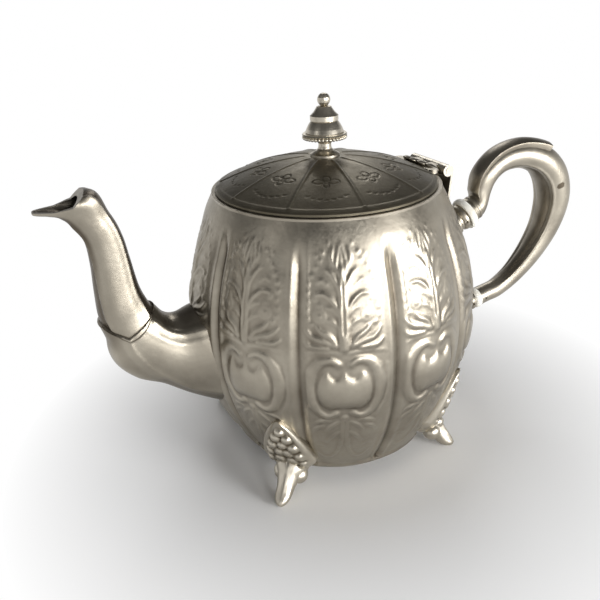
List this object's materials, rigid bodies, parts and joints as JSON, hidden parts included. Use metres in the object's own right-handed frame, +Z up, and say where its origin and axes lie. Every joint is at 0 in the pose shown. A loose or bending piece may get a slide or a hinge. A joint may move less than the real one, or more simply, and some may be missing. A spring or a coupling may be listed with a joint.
{
  "type": "teapot",
  "caption": "Lobed pewter teapot with a swan-neck spout, a hinged domed lid with a beaded finial, an insulated hollow C handle and cast leaf feet.",
  "frame": {"origin": "on the table under the middle of the teapot's length and width", "axes": "+X towards the handle, -X towards the spout, +Z up; the pot's own axis is upright through its foot plate, 10 mm towards the spout"},
  "size_m": [0.2726, 0.1372, 0.175],
  "materials": {
    "pewter": "satin, worn, with fine pits",
    "lid_pewter": "satin, slightly darker, engraved",
    "bright_pewter": "half polished casting",
    "fixings": "plain turned metal",
    "insulator": "smooth white, slightly glossy"
  },
  "bodies": {
    "pot": {"body_shell": "pewter", "bottom_plate": "pewter", "mouth_ring": "pewter", "spout_base": "pewter", "spout_neck": "pewter", "hinge_plate": "bright_pewter", "hinge_pin": "bright_pewter", "upper_socket": "pewter", "upper_insulator": "insulator", "handle_collar": "pewter", "lower_socket": "pewter", "lower_insulator": "insulator", "lower_collar": "pewter", "insulator_rivets": "fixings", "handle_left": "pewter", "handle_right": "pewter", "thumb_strip": "pewter", "foot_spout_left": "bright_pewter", "foot_spout_right": "bright_pewter", "foot_handle_left": "bright_pewter", "foot_handle_right": "bright_pewter"},
    "lid": {"lid_dome": "lid_pewter", "lid_flange": "lid_pewter", "finial_foot": "bright_pewter", "finial_disc": "bright_pewter", "finial_cap": "bright_pewter", "finial_stud": "fixings", "finial_washer": "fixings", "finial_nut": "fixings", "hinge_leaf": "bright_pewter"}
  },
  "joints": [
    {"name": "lid_hinge", "type": "hinge", "parent": "pot", "child": "lid", "pos_m": [0.04682, 0, 0.136], "axis": [0, 1, 0], "range_deg": [0, 100]}
  ]
}
